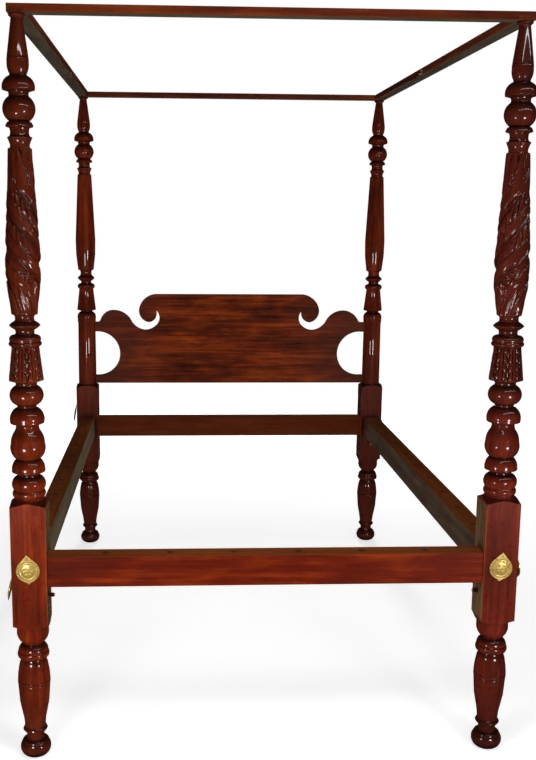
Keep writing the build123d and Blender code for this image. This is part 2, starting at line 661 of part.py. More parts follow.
for corner in CORNERS:
    end, hand = corner.split("_")
    write(f"{end}_post_{hand}", post(corner))

write("foot_rail", end_rail(-1))
write("head_rail", end_rail(1))
write("side_rail_left", side_rail(-1))
write("side_rail_right", side_rail(1))
write("headboard", headboard())

write("tester_rail_foot", tester_rail("x", -1))
write("tester_rail_head", tester_rail("x", 1))
write("tester_rail_left", tester_rail("y", -1))
write("tester_rail_right", tester_rail("y", 1))
write("tester_hook", tester_hook())
write("tester_pins", [tester_pin(corner) for corner in CORNERS])

write("rope_peg_plugs_foot", plugs(end_rail_plugs(-1)))
write("rope_peg_plugs_head", plugs(end_rail_plugs(1)))
write("rope_peg_plugs_left", plugs(side_rail_plugs(-1)))
write("rope_peg_plugs_right", plugs(side_rail_plugs(1)))

write("bed_bolts", [bolt(corner, way) for corner in CORNERS for way in ("x", "y")])
write("bed_bolt_nuts", [nut(corner, way) for corner in CORNERS for way in ("x", "y")])
write("cover_nails", [cover_nail(corner, way) for corner in CORNERS for way in ("x", "y")])

blank = cover_blank()
for corner in CORNERS:
    for way, place in (("x", "side"), ("y", "end")):
        write(f"bolt_cover_{corner}_{place}", cover(blank, corner, way))

write("under_rail_pegs", [under_rail_peg(corner) for corner in CORNERS])
write("under_rail_peg_tips", [peg_tip(corner) for corner in CORNERS])
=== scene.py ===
"""Tester bed: finely turned and carved posts, a rounded headboard, woods, brass, light and camera.

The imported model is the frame. Lengths are metres in the row's frame, except that the profile
steps and outlines repeat the part's own drawing in millimetres.
"""

from math import atan, ceil, cos, exp, floor, hypot, pi, radians, sin, sqrt, tan

import bmesh
import bpy
from mathutils import Matrix, Vector, noise


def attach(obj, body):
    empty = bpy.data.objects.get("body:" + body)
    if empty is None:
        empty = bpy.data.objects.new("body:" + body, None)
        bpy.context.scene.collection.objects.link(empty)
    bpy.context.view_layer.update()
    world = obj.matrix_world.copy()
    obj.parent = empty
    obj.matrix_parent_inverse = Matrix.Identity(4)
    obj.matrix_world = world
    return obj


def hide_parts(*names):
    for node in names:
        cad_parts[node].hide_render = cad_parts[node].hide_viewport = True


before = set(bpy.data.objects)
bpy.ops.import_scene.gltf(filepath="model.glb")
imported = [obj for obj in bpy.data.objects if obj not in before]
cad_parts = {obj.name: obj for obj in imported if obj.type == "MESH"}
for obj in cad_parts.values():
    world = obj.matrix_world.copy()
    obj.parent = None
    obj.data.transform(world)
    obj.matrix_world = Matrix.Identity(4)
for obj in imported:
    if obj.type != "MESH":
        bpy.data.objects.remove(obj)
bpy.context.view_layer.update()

MM = 0.001
ROOT = "frame"

# ---------------------------------------------------------------- sizes shared with the part
HALF_X = 688.0
HALF_Y = 1014.0
POST_HEIGHT = 2132.0
HALF_BLOCK = 50.8
BLOCK_EASE = 1.8
BLOCK_LOW = 424.0
BLOCK_HIGH = 782.0
CORNER = hypot(HALF_BLOCK, HALF_BLOCK)
BOARD_THICK = 25.0
BOARD_LOW = 798.5
BOARD_TOP = 1226.0
TONGUE_X = 666.0

# (height, radius, bulge) from the top down; the bulge is how far the arc stands out of its chord
CROWN = [
    (POST_HEIGHT, 19.0, 0), (2124, 19.5, 3.2), (2121, 16.5, 0), (2117, 16.3, -0.4),
    (2021.4, 28.9, 0.6), (2020, 27.9, 0), (2018.6, 29.2, 0), (2008, 29.6, 0.3), (1976, 23.2, 2.4),
    (1973, 23.6, 0), (1971, 27.0, 0), (1936.5, 44.0, 6.4), (1934.5, 43.4, 0.5), (1930, 28.6, 0),
    (1918, 27.6, -1.2), (1852.6, 27.0, 17.2), (1851, 32.0, 0), (1840.2, 37.6, 0.8),
    (1837.6, 36.2, 0.5), (1835, 27.4, 0), (1814, 27.4, -1.9), (1810.5, 33.8, 0),
    (1808.4, 33.4, 0.4), (1789, 26.4, -0.6), (1783, 27.6, 0),
]
CARVED_SHAFT = [(1783, 27.6, 0), (1780.5, 33.4, 0.5), (1480, 50.0, 1.6), (1330, 36.8, 4.2),
                (1326, 28.2, 0)]
FOOT_MIDDLE = [
    (1326, 28.2, 0), (1311, 28.2, -1.6), (1309.5, 31.0, 0), (1300, 43.0, 0.6), (1297.6, 43.0, 0.4),
    (1288, 31.0, 0.6), (1286.5, 27.6, 0), (1273, 27.2, -1.2), (1271.5, 33.0, 0),
    (1254.5, 43.2, 5.4), (1252.6, 43.2, 0), (1240, 41.0, 4.0), (1237.6, 38.4, 0),
    (1235.5, 39.2, 0),
]
BELL = [(1235.5, 39.2, 0), (1144, 49.6, -1.8), (1141.4, 48.8, 0.6), (1137, 31.0, 0)]
FOOT_LOWER = [
    (1137, 31.0, 0), (1127.5, 30.4, -0.8), (1072, 30.4, 17.6), (1070, 27.4, 0), (1064, 27.4, -0.6),
    (1062, 33.6, 0), (1022.6, 48.2, 6.2), (1018.8, 46.0, 1.0), (1014, 33.4, 0),
    (1008, 32.6, -0.4), (998, 35.4, -0.3), (960, 48.4, 3.4), (914.6, 33.2, 7.6),
    (912.4, 37.0, 0), (881, 47.2, 3.4),
    (877, 46.2, 0.8), (872, 30.8, 0), (865, 30.2, -0.6), (863.4, 36.6, 0), (825.6, 43.4, 8.2),
    (823.6, 43.4, 0), (803.6, 43.6, 4.0), (801.6, 42.8, 0), (799, 43.6, 0),
    (BLOCK_HIGH, CORNER, -2.6),
]
PLAIN_SHAFT = [(1783, 27.6, 0), (1780.5, 32.0, 0.5), (1480, 46.2, 1.8), (1341, 36.4, 3.2)]
HEAD_MIDDLE = [
    (1337, 27.4, 0), (1316, 27.0, -1.6), (1312, 31.0, 0), (1302.6, 39.4, 0.8), (1300.4, 39.2, 0.4),
    (1290, 29.0, 0.4), (1288, 24.4, 0), (1278, 24.4, -0.8), (1276, 30.0, 0), (1252, 34.0, 8.4),
    (1249, 33.0, 0), (1154, 44.0, -1.2), (1151, 43.0, 0.6), (1147, 28.0, 0), (1142, 28.0, -0.4),
    (1140, 33.4, 0), (1112, 43.2, 4.0), (1088, 41.4, 0.6), (1085.4, 40.2, 0), (1083, 40.6, 0),
    (938.6, 41.6, 0), (937, 40.2, 0), (935.4, 41.6, 0), (794, 42.2, 0),
    (BLOCK_HIGH - 7, CORNER, 3.4),
]
LEG = [
    (BLOCK_LOW, CORNER, 0), (411, 47.4, -1.4), (400, 46.6, 0.2), (359, 31.0, 6.0),
    (356, 29.8, 0), (353.6, 33.4, 0), (335, 44.0, 2.6), (333.4, 43.2, 0), (331.8, 44.6, 0),
    (322, 46.4, 1.0), (312.4, 38.0, 2.6), (311, 34.6, 0), (308, 34.8, 0), (288, 42.6, 1.4),
    (243.4, 48.0, 1.0), (241.6, 46.4, 0), (240, 47.9, 0.2), (233.4, 47.9, 0.3),
    (231.8, 46.2, 0), (230, 47.2, 0), (119, 32.8, 3.4),
    (98, 30.6, -0.4), (93, 30.6, 0), (85.4, 35.8, 0.6), (83.4, 35.6, 0.4), (76, 29.4, 0.4),
    (73, 27.2, 0), (55, 27.2, -1.6), (52.6, 33.0, 0), (46.4, 39.2, 1.0), (45.4, 38.6, 0),
    (44.4, 39.6, 0), (4.0, 33.6, 8.6), (2.6, 27.6, 0), (0, 26.6, 0),
]

# ---------------------------------------------------------------- carving
SLAB_LOW = 430.0             # the block between these heights comes from the CAD post
SLAB_HIGH = 768.0
ARC_STEP = radians(9)        # turned arcs are divided this finely
FINE_ROW = 0.9               # row spacing where the turning meets the square
CORNER_SLACK = 0.001
SHAFT_ROWS = 228             # grid of the carved shaft: rows, and columns to each winding leaf
LEAF_COLUMNS = 64
LEAF_CROWDING = 0.075        # how much closer its columns stand at the leaf's lower edge
BELL_ROWS = 60
BELL_COLUMNS = 160
FOOT_SHARP = 38              # edges sharper than these angles, in degrees, are not smoothed
HEAD_SHARP = 32
BOARD_SHARP = 25
STARTS = 3                   # winding leaves round the shaft
WIND_FROM = 1386.0           # height at which a leaf's lower edge passes the front
WIND_PITCH = 84.0            # height between leaves at the foot
WIND_EASE = 4.7e-6           # the leaves stand steeper towards the top
LEAF_RADIUS = 42.0           # turns an angle round the shaft into a breadth
BASE_LEAVES = 6
BASE_LOW = 1329.0
BASE_HIGH = 1424.0
TOP_LEAVES = 5
TOP_LOW = 1646.0
TOP_HIGH = 1779.0
SHAFT_LOW = 1326.0
SHAFT_HIGH = 1783.0
UPPER_FROM = 1470.0          # the winding leaves gain veins and leaflets between these heights
UPPER_FULL = 1560.0
HATCH_FULL = 1445.0          # the hatching of the ground dies away between these
HATCH_GONE = 1475.0
HATCH_PITCH = 5.2
BELL_LEAVES = 7
BELL_LOW = 1141.0
BELL_HIGH = 1235.5


def arc_points(steps):
    """(height, radius) points down a profile, its arcs divided into short chords."""
    z0, r0, _ = steps[0]
    points = [(z0, r0)]
    for z, r, bulge in steps[1:]:
        run = hypot(r - r0, z - z0)
        sweep = 4 * atan(2 * abs(bulge) / run)
        count = max(1, ceil(sweep / ARC_STEP))
        if max(r, r0) > HALF_BLOCK:
            count = max(count, ceil(run / FINE_ROW))
        out_r = (z0 - z) / run
        out_z = (r - r0) / run
        for i in range(1, count + 1):
            t = i / count
            rise = 0.0
            if sweep > 0:
                turn = (t - 0.5) * sweep
                ball = run / 2 / sin(sweep / 2)
                t = 0.5 + sin(turn) * ball / run
                rise = ball * (cos(turn) - cos(sweep / 2))
                rise = rise if bulge > 0 else -rise
            points.append((z0 + (z - z0) * t + rise * out_z, r0 + (r - r0) * t + rise * out_r))
        z0, r0 = z, r
    return points


def envelope(points, z):
    """Radius of a profile at a height."""
    for (z1, r1), (z2, r2) in zip(points, points[1:]):
        if z1 >= z >= z2 and z1 > z2:
            return r1 + (r2 - r1) * (z1 - z) / (z1 - z2)
    return points[-1][1]


def square_radius(angle):
    """Distance from the axis to the side of the eased square block, at an angle."""
    quarter = pi / 2
    a = abs((angle + pi / 4) % quarter - pi / 4)
    flat = HALF_BLOCK - BLOCK_EASE
    if HALF_BLOCK * tan(a) <= flat:
        return HALF_BLOCK / cos(a)
    along = flat * (cos(a) + sin(a))
    return along + sqrt(max(0.0, along ** 2 - 2 * flat ** 2 + BLOCK_EASE ** 2))


def ring_angles():
    """Even angles round the post, with a few more at the square's corners."""
    angles = [radians(5 * i) for i in range(72)]
    for k in range(4):
        for extra in (-1.5, -0.75, 0.75, 1.5):
            angles.append(radians(45 + 90 * k + extra))
    return sorted(angles)


def loft(bm, rows):
    """Closed island from rows of points, each row once round the post; the ends are capped."""
    rings = [[bm.verts.new(p) for p in row] for row in rows]
    count = len(rings[0])
    for upper, lower in zip(rings, rings[1:]):
        for i in range(count):
            j = (i + 1) % count
            bm.faces.new((upper[i], lower[i], lower[j], upper[j]))
    for ring, up in ((rings[0], True), (rings[-1], False)):
        middle = bm.verts.new(sum((v.co for v in ring), Vector()) / count)
        for i in range(count):
            j = (i + 1) % count
            bm.faces.new((ring[i], ring[j], middle) if up else (ring[j], ring[i], middle))


def row_at(points, at):
    """Height and radius at a place between two rows."""
    low = min(floor(at), len(points) - 2)
    (z1, r1), (z2, r2) = points[low:low + 2]
    return z1 + (z2 - z1) * (at - low), r1 + (r2 - r1) * (at - low)


def cut_back(points, most):
    """The profile at an angle where the block's side is at radius most.

    inner is the row that is round all the way about, and outer the one that is square. The rows
    from one to the other are drawn in so that outer lies on the block's edge at every angle.
    """
    wide = [k for k, (_, r) in enumerate(points) if r > CORNER - CORNER_SLACK]
    outer, step = (wide[0], 1) if wide[0] else (wide[-1], -1)
    inner = outer
    while points[inner][1] > HALF_BLOCK:
        inner -= step
    edge = inner
    while points[edge + step][1] < most:
        edge += step
    r1, r2 = points[edge][1], points[edge + step][1]
    edge += step * (most - r1) / (r2 - r1)
    drawn = list(points)
    for k in range(min(inner, outer), max(inner, outer) + 1):
        drawn[k] = row_at(points, inner + (k - inner) * (edge - inner) / (outer - inner))
    return [(z, min(r, most)) for z, r in drawn]


def lathe(bm, steps, centre, squared=False):
    """Turned island about a post's axis; squared ones are cut back to the block."""
    points = arc_points(steps)
    columns = []
    for a in ring_angles():
        profile = cut_back(points, square_radius(a)) if squared else points
        columns.append([Vector((centre[0] + r * cos(a), centre[1] + r * sin(a), z)) * MM
                        for z, r in profile])
    loft(bm, list(zip(*columns)))


def smooth(x, low, high):
    """0 below low, 1 above high, an even curve between."""
    t = min(1.0, max(0.0, (x - low) / (high - low)))
    return t * t * (3 - 2 * t)


def ridge(x, width):
    """A rounded ridge of height 1 at x = 0."""
    return exp(-(x / width) ** 2)


def wind(z):
    """How many leaves a height has passed on the way up the shaft."""
    rise = z - WIND_FROM
    return rise / WIND_PITCH - WIND_EASE * rise * rise


def waver(angle, z, seed, size):
    """Hand-cut unevenness, -1 to 1, that runs on round the post."""
    return noise.noise(Vector((cos(angle) * 1.6 + seed, sin(angle) * 1.6 - seed, z / size)))


def winding_leaf(turn, angle, z, seed):
    """Depth of the winding leaves and the ground between them."""
    turn += 0.06 * waver(angle, z, seed, 45.0)
    q = turn - floor(turn)
    lobes = 14 * angle / (2 * pi) + 0.37 * (floor(turn) % STARTS) + 0.3 * waver(angle, z, seed, 60.0)
    c = 2 * (lobes - floor(lobes)) - 1
    upper = smooth(z, UPPER_FROM, UPPER_FULL)
    edge = 0.52 + 0.08 * sqrt(1 - 0.9 * c * c) - 0.14 * upper * (1 - abs(c))
    if q < edge:
        t = q / edge
        depth = -4.2 + 3.9 * sin(pi * min(1.0, 0.10 + 0.78 * t))
        depth += 3.4 * ridge(q, 0.035) - 2.6 * ridge(q - 0.11, 0.034)
        depth -= 0.8 * ridge(q - 0.33, 0.022)
        vein = abs(2 * (2 * lobes + 3.4 * q - floor(2 * lobes + 3.4 * q)) - 1)
        depth -= 1.5 * upper * smooth(vein, 0.55, 1.0) * smooth(q, 0.20, 0.38)
        return depth - 1.4 * smooth(t, 0.90, 1.0)
    t = (q - edge) / (1 - edge)
    depth = -5.0 - 2.2 * smooth(t, 0.0, 0.8)
    half = lobes + 0.5 + 0.5 * t
    c2 = 2 * (half - floor(half)) - 1
    leaflet = (1 - c2 * c2) * (1 - ((t - 0.40) / 0.44) ** 2)
    depth += 5.2 * upper * smooth(leaflet, 0.0, 0.8)
    depth -= 1.6 * upper * ridge(c2, 0.14) * smooth(leaflet, 0.2, 0.6)
    hatch = (1 - upper) * (1 - smooth(z, HATCH_FULL, HATCH_GONE))
    depth += hatch * 0.7 * sin(2 * pi * z / HATCH_PITCH + 3.0 * waver(angle, z, seed + 9, 30.0))
    lip = smooth(q, 0.975, 1.0)
    return depth * (1 - lip) + (-4.2 + 3.9 * sin(pi * 0.10) + 3.4) * lip


def pointed_leaf(offset, rise, half_width, rib):
    """Height of one pointed leaf, 0 to 1 across its swell, or None outside it."""
    taper = max(0.0, 1 - max(0.0, rise) ** 1.8) ** 0.75
    outline = half_width * taper * (0.78 + 0.34 * sin(pi * min(1.0, max(0.0, rise))))
    if outline < 0.5 or abs(offset) > outline:
        return None
    side = abs(offset) / outline
    return 1.0 - 0.85 * side ** 2 + rib * (ridge(offset, 1.3) - ridge(abs(offset) - 3.4, 1.2))


def nearest_leaf(angle, count, start):
    """Angle from the middle of the nearest of some leaves spread round the post."""
    step = 2 * pi / count
    return (angle - start + step / 2) % step - step / 2


def shaft_depth(angle, z, seed):
    """How far the carved shaft lies under its turned envelope (negative is in)."""
    turn = STARTS * (angle + pi / 2) / (2 * pi) + wind(z)
    depth = winding_leaf(turn, angle, z, seed)
    step = 2 * pi / BASE_LEAVES
    rise = (z - BASE_LOW) / (BASE_HIGH - BASE_LOW)
    above = smooth(rise, 0.55, 1.0)
    depth = depth * above + min(depth, -5.4) * (1 - above)
    for start, tall, floor_depth, swell in ((0.0, 1.0, -5.4, 5.2), (0.5 * step, 0.86, -6.8, 4.6)):
        part = rise * tall
        lean = start - 0.0075 * (z - BASE_LOW) + 0.12 * waver(angle, z, seed + 4, 70.0)
        offset = nearest_leaf(angle, BASE_LEAVES, lean) * LEAF_RADIUS
        leaf = pointed_leaf(offset, part, 18.5, 0.20) if part < 1 else None
        if leaf is not None:
            depth = max(depth, floor_depth + swell * leaf)
            break
    fall = (z - TOP_LOW) / (TOP_HIGH - TOP_LOW)
    step = 2 * pi / TOP_LEAVES
    start = -pi / 2 - 0.12
    into = smooth(fall, 0.0, 0.45)
    depth = depth * (1 - into) + min(depth, -3.2) * into
    for first, tall, floor_depth in ((start, 0.96, -3.8), (start + 0.5 * step, 0.84, -5.2)):
        part = fall * tall
        lean = first - 0.0050 * (z - TOP_HIGH) + 0.14 * waver(angle, z, seed + 6, 60.0)
        offset = nearest_leaf(angle, TOP_LEAVES, lean) * LEAF_RADIUS * 0.82
        leaf = pointed_leaf(offset, part, 21.0, 0.16) if 0 < part < 1 else None
        if leaf is not None:
            curl = 5.0 * part + 0.13 * abs(offset) + 0.5 * waver(angle, z, seed + 8, 40.0)
            curl = abs(2 * (curl - floor(curl)) - 1)
            level = floor_depth + 3.7 * leaf
            level -= 1.5 * smooth(curl, 0.5, 1.0) * smooth(abs(offset), 3.5, 8.0)
            depth = depth * (1 - into) + level * into
            break
    depth += 0.30 * waver(angle * 3, z, seed + 2, 9.0)
    ends = smooth(z, SHAFT_LOW, SHAFT_LOW + 5) * (1 - smooth(z, SHAFT_HIGH - 3, SHAFT_HIGH))
    return min(0.0, depth) * ends


def bell_depth(angle, z, seed):
    """Leaves standing round the bell: a flat rib down each, lobed halves and deep channels."""
    u = BELL_LEAVES * angle / (2 * pi) + 0.5
    c = 2 * (u - floor(u)) - 1
    side = abs(c) + 0.04 * waver(angle, z, seed, 20.0)
    h = (z - BELL_LOW) / (BELL_HIGH - BELL_LOW)
    lobe = 3.6 * h + 1.5 * side
    lobe = abs(2 * (lobe - floor(lobe)) - 1)
    edge = 0.90 - 0.22 * smooth(lobe, 0.35, 1.0) * smooth(h, 0.05, 0.3) - 0.08 * h
    tip = 0.03 + 0.07 * side ** 2
    depth = -2.0
    depth += 1.9 * (1 - smooth(side, 0.15, 0.20)) - 1.9 * ridge(side - 0.27, 0.06)
    depth -= 1.8 * smooth(lobe, 0.55, 1.0) * smooth(side, 0.30, 0.5)
    depth += 1.2 * sin(pi * min(1.0, max(0.0, (side - 0.28) / 0.5)))
    depth -= 3.8 * smooth(side, edge - 0.05, edge + 0.05)
    depth -= 2.0 * (1 - smooth(h, tip - 0.03, tip))
    depth += 0.25 * waver(angle * 3, z, seed + 5, 7.0)
    ends = smooth(z, BELL_LOW - 4, BELL_LOW) * (1 - smooth(z, BELL_HIGH - 1.5, BELL_HIGH))
    return min(0.0, depth) * ends


def carved(bm, steps, centre, hand, rows, columns, depth_at, twist):
    """Carved island: its columns follow the twist, and hand is -1 for the mirrored post."""
    points = arc_points(steps)
    top = points[0][0]
    bottom = points[-1][0]
    grid = []
    for j in range(rows + 1):
        z = top + (bottom - top) * j / rows
        base = envelope(points, z)
        row = []
        for column in columns:
            a = column + twist(z)
            reach = base + depth_at(a, z, 3.1 * hand)
            x = centre[0] + hand * reach * cos(a)
            row.append(Vector((x, centre[1] + reach * sin(a), z)) * MM)
        grid.append(row if hand > 0 else row[::-1])
    loft(bm, grid)


def shaft_columns():
    """Angles round the shaft, closer together at the leaves' sharp lower edges."""
    columns = []
    for band in range(STARTS):
        for i in range(LEAF_COLUMNS):
            t = i / LEAF_COLUMNS
            q = t - LEAF_CROWDING * sin(2 * pi * t)
            columns.append(2 * pi * (band + q) / STARTS - pi / 2)
    return columns


def shaft_twist(z):
    """Turn that keeps a column on the same line of a winding leaf."""
    return -2 * pi / STARTS * wind(z)


def no_twist(_):
    """Columns that stand straight at every height."""
    return 0.0


def block_slab(bm, node):
    """Adds the block, with its bolt sinkings and mortises, from a CAD post."""
    part = bmesh.new()
    part.from_mesh(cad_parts[node].data)
    part.transform(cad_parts[node].matrix_world)
    bmesh.ops.remove_doubles(part, verts=part.verts, dist=1e-6)
    for level, up in ((SLAB_LOW, -1), (SLAB_HIGH, 1)):
        everything = list(part.verts) + list(part.edges) + list(part.faces)
        cut = bmesh.ops.bisect_plane(
            part, geom=everything, plane_co=(0, 0, level * MM), plane_no=(0, 0, up), clear_outer=True
        )
        rim = [e for e in cut["geom_cut"] if isinstance(e, bmesh.types.BMEdge)]
        bmesh.ops.holes_fill(part, edges=rim, sides=0)
    bmesh.ops.recalc_face_normals(part, faces=part.faces)
    scratch = bpy.data.meshes.new("slab")
    part.to_mesh(scratch)
    part.free()
    bm.from_mesh(scratch)
    bpy.data.meshes.remove(scratch)


def new_piece(name, bm, material, sharp_angle):
    """Object from a bmesh, smooth but for its sharp edges."""
    mesh = bpy.data.meshes.new(name)
    bm.to_mesh(mesh)
    bm.free()
    if "custom_normal" in mesh.attributes:
        mesh.attributes.remove(mesh.attributes["custom_normal"])
    mesh.set_sharp_from_angle(angle=radians(sharp_angle))
    for polygon in mesh.polygons:
        square_on = max(abs(c) for c in polygon.normal) > 0.99999
        polygon.use_smooth = not square_on
    mesh.materials.append(material)
    piece = bpy.data.objects.new(name, mesh)
    bpy.context.scene.collection.objects.link(piece)
    return piece


def foot_post(hand, material):
    """Foot post: turned crown and leg, shaft and bell carved with leaves."""
    side = "left" if hand > 0 else "right"
    node = f"foot_post_{side}"
    centre = (-hand * HALF_X, -HALF_Y)
    bm = bmesh.new()
    lathe(bm, CROWN, centre)
    carved(bm, CARVED_SHAFT, centre, hand, SHAFT_ROWS, shaft_columns(), shaft_depth, shaft_twist)
    lathe(bm, FOOT_MIDDLE, centre)
    bell_columns = [2 * pi * i / BELL_COLUMNS for i in range(BELL_COLUMNS)]
    carved(bm, BELL, centre, hand, BELL_ROWS, bell_columns, bell_depth, no_twist)
    lathe(bm, FOOT_LOWER + [(SLAB_HIGH, CORNER, 0)], centre, squared=True)
    lathe(bm, [(SLAB_LOW, CORNER, 0)] + LEG, centre, squared=True)
    block_slab(bm, node)
    piece = new_piece(f"{node}_wood", bm, material, FOOT_SHARP)
    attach(piece, ROOT)
    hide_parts(node)


def head_post(hand, material):
    """Head post: the same crown and leg with a plain shaft, bell and cylinder."""
    side = "left" if hand > 0 else "right"
    node = f"head_post_{side}"
    centre = (-hand * HALF_X, HALF_Y)
    bm = bmesh.new()
    steps = CROWN + PLAIN_SHAFT[1:] + HEAD_MIDDLE + [(SLAB_HIGH, CORNER, 0)]
    lathe(bm, steps, centre, squared=True)
    lathe(bm, [(SLAB_LOW, CORNER, 0)] + LEG, centre, squared=True)
    block_slab(bm, node)
    piece = new_piece(f"{node}_wood", bm, material, HEAD_SHARP)
    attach(piece, ROOT)
    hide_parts(node)


# ---------------------------------------------------------------- headboard
EYE_X = 620.0
EYE_Z = 942.0
EYE_RADIUS = 106.5
EYE_MOUTH_X = 633.0
BOARD_ROUNDING = 2.2
BOARD_CHORD = 3.0            # chord length along the outline's arcs
EYE_CHORD = 4.0
BOARD_SPREAD = {-1: 17.0, 1: 5.0}    # how much further out each half was sawn than drawn
EAR_OUT = 613.0              # where the ear's hump runs down to the post
EAR_LOW = 1093.0
TONGUE_TOP = 1048.0
TONGUE_STEP = 836.0
SCROLL = [
    ((338, BOARD_TOP), (394, 1204), (421, 1157)),
    ((421, 1157), (409, 1112), (380, 1093)),
    ((380, 1093), (350, 1103), (338, 1126)),
    ((338, 1126), (336.6, 1137), (339, 1149)),
    ((339, 1149), (327.6, 1132), (324, 1112)),
    ((324, 1112), (330, 1090), (346, 1072)),
    ((346, 1072), (368, 1059), (393, 1055)),
    ((393, 1055), (429, 1067), (457, 1096)),
    ((457, 1096), (492, 1135), (537, 1149)),
]


def three_point_arc(start, middle, end, step):
    """Points after the start, to the end, along the arc through three points."""
    (ax, az), (bx, bz), (cx, cz) = start, middle, end
    d = 2 * (ax * (bz - cz) + bx * (cz - az) + cx * (az - bz))
    a2, b2, c2 = ax * ax + az * az, bx * bx + bz * bz, cx * cx + cz * cz
    centre = Vector((
        (a2 * (bz - cz) + b2 * (cz - az) + c2 * (az - bz)) / d,
        (a2 * (cx - bx) + b2 * (ax - cx) + c2 * (bx - ax)) / d,
    ))
    first = Vector(start) - centre
    turn = -first.angle_signed(Vector(middle) - centre)
    turn -= (Vector(middle) - centre).angle_signed(Vector(end) - centre)
    count = max(3, ceil(abs(turn) * first.length / step))
    points = []
    for i in range(1, count + 1):
        p = centre + Matrix.Rotation(turn * i / count, 2) @ first
        points.append((p.x, p.y))
    return points


def board_half(side):
    """Half of the headboard's outline towards +X, from the top's middle to the foot's middle."""
    out = BOARD_SPREAD[side]
    rise = sqrt(EYE_RADIUS ** 2 - (EYE_MOUTH_X - EYE_X) ** 2)
    points = [(0.0, BOARD_TOP), (338.0 + out, BOARD_TOP)]
    for arc in SCROLL:
        points += three_point_arc(*[(x + out, z) for x, z in arc], BOARD_CHORD)
    foot = EAR_OUT + out / 2
    hump = ((537 + out, 1149), (582 + out, 1137), (foot, 1105))
    hollow = ((foot, 1105), (foot + 6, 1096.5), (632, EAR_LOW))
    points += three_point_arc(*hump, BOARD_CHORD)
    points += three_point_arc(*hollow, BOARD_CHORD)
    points += [(TONGUE_X, EAR_LOW), (TONGUE_X, TONGUE_TOP), (EYE_MOUTH_X, EYE_Z + rise)]
    inner = EYE_X - EYE_RADIUS + out
    eye = ((EYE_MOUTH_X, EYE_Z + rise), (inner, EYE_Z), (EYE_MOUTH_X, EYE_Z - rise))
    points += three_point_arc(*eye, EYE_CHORD)
    return points + [(TONGUE_X, TONGUE_STEP), (TONGUE_X, BOARD_LOW), (0.0, BOARD_LOW)]


def headboard(material):
    """The scrolled board with its worn, rounded edges."""
    outline = board_half(1) + [(-x, z) for x, z in board_half(-1)[-2:0:-1]]
    bm = bmesh.new()
    near = (HALF_Y - BOARD_THICK / 2) * MM
    far = (HALF_Y + BOARD_THICK / 2) * MM
    front = [bm.verts.new((x * MM, near, z * MM)) for x, z in outline]
    back = [bm.verts.new((x * MM, far, z * MM)) for x, z in outline]
    bm.faces.new(front)
    bm.faces.new(back[::-1])
    count = len(outline)
    for i in range(count):
        j = (i + 1) % count
        bm.faces.new((front[j], front[i], back[i], back[j]))
    bmesh.ops.recalc_face_normals(bm, faces=bm.faces)
    rims = [e for e in bm.edges if abs(e.verts[0].co.y - e.verts[1].co.y) < 1e-9]
    bmesh.ops.bevel(
        bm, geom=rims, offset=BOARD_ROUNDING * MM, segments=3, profile=0.5, affect="EDGES",
        clamp_overlap=True,
    )
    piece = new_piece("headboard_wood", bm, material, BOARD_SHARP)
    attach(piece, ROOT)
    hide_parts("headboard")


# ---------------------------------------------------------------- materials
WOOD_SPECULAR = 0.08         # low, because the shellac coat over the wood does the reflecting
COAT_ROUGHNESS = 0.045
HOLLOW_REACH = 0.040         # width of the hollows darkened with painted shade in the wood, and of the tarnished ones in the brass
BRASS_HOLLOW_REACH = 0.005
OCCLUSION_SAMPLES = 8
WHITE = (1.0, 1.0, 1.0, 1.0)


def linear(red, green, blue):
    """Linear colour from 0-255 display values."""
    out = []
    for value in (red, green, blue):
        v = value / 255
        out.append(v / 12.92 if v <= 0.04045 else ((v + 0.055) / 1.055) ** 2.4)
    return (*out, 1.0)


class Nodes:
    """Short helpers round one material's node tree."""

    def __init__(self, name):
        self.material = bpy.data.materials.new(name)
        self.material.use_nodes = True
        self.tree = self.material.node_tree
        self.shader = self.tree.nodes["Principled BSDF"]

    def add(self, kind, settings, sockets):
        """New node with attributes set, and sockets set or linked."""
        node = self.tree.nodes.new(kind)
        for key, value in settings.items():
            setattr(node, key, value)
        for key, value in sockets.items():
            self.put(node.inputs[key], value)
        return node

    def put(self, socket, value):
        """Sets a socket, or links it to another node's output."""
        if isinstance(value, bpy.types.NodeSocket):
            self.tree.links.new(value, socket)
        else:
            socket.default_value = value

    def math(self, operation, a, b=0.0, clamp=False):
        """One Math node."""
        node = self.add("ShaderNodeMath", {"operation": operation, "use_clamp": clamp}, {})
        self.put(node.inputs[0], a)
        self.put(node.inputs[1], b)
        return node.outputs[0]

    def span(self, value, low, high, to_low=0.0, to_high=1.0):
        """A clamped change of range."""
        sockets = {"Value": value, "From Min": low, "From Max": high, "To Min": to_low,
                   "To Max": to_high}
        return self.add("ShaderNodeMapRange", {"clamp": True}, sockets).outputs["Result"]

    def mix(self, factor, a, b):
        """A colour mix."""
        node = self.add("ShaderNodeMix", {"data_type": "RGBA"}, {})
        self.put(node.inputs["Factor"], factor)
        self.put(node.inputs["A"], a)
        self.put(node.inputs["B"], b)
        return node.outputs["Result"]

    def place(self, scale):
        """Object coordinates, scaled along each axis."""
        coord = self.add("ShaderNodeTexCoord", {}, {}).outputs["Object"]
        return self.add("ShaderNodeMapping", {}, {"Vector": coord, "Scale": scale}).outputs[0]

    def noise(self, vector, scale=1.0, detail=4.0, rough=0.55, distortion=0.0):
        """A noise texture's value."""
        sockets = {"Vector": vector, "Scale": scale, "Detail": detail, "Roughness": rough,
                   "Distortion": distortion}
        return self.add("ShaderNodeTexNoise", {}, sockets).outputs["Fac"]

    def bump(self, height, strength, distance):
        """Bump into the shader's normal."""
        sockets = {"Height": height, "Strength": strength, "Distance": distance}
        return self.add("ShaderNodeBump", {}, sockets).outputs["Normal"]


def faded(colour, share):
    """A colour with its red, green and blue cut to a share."""
    return tuple(share * v for v in colour[:3]) + (1.0,)


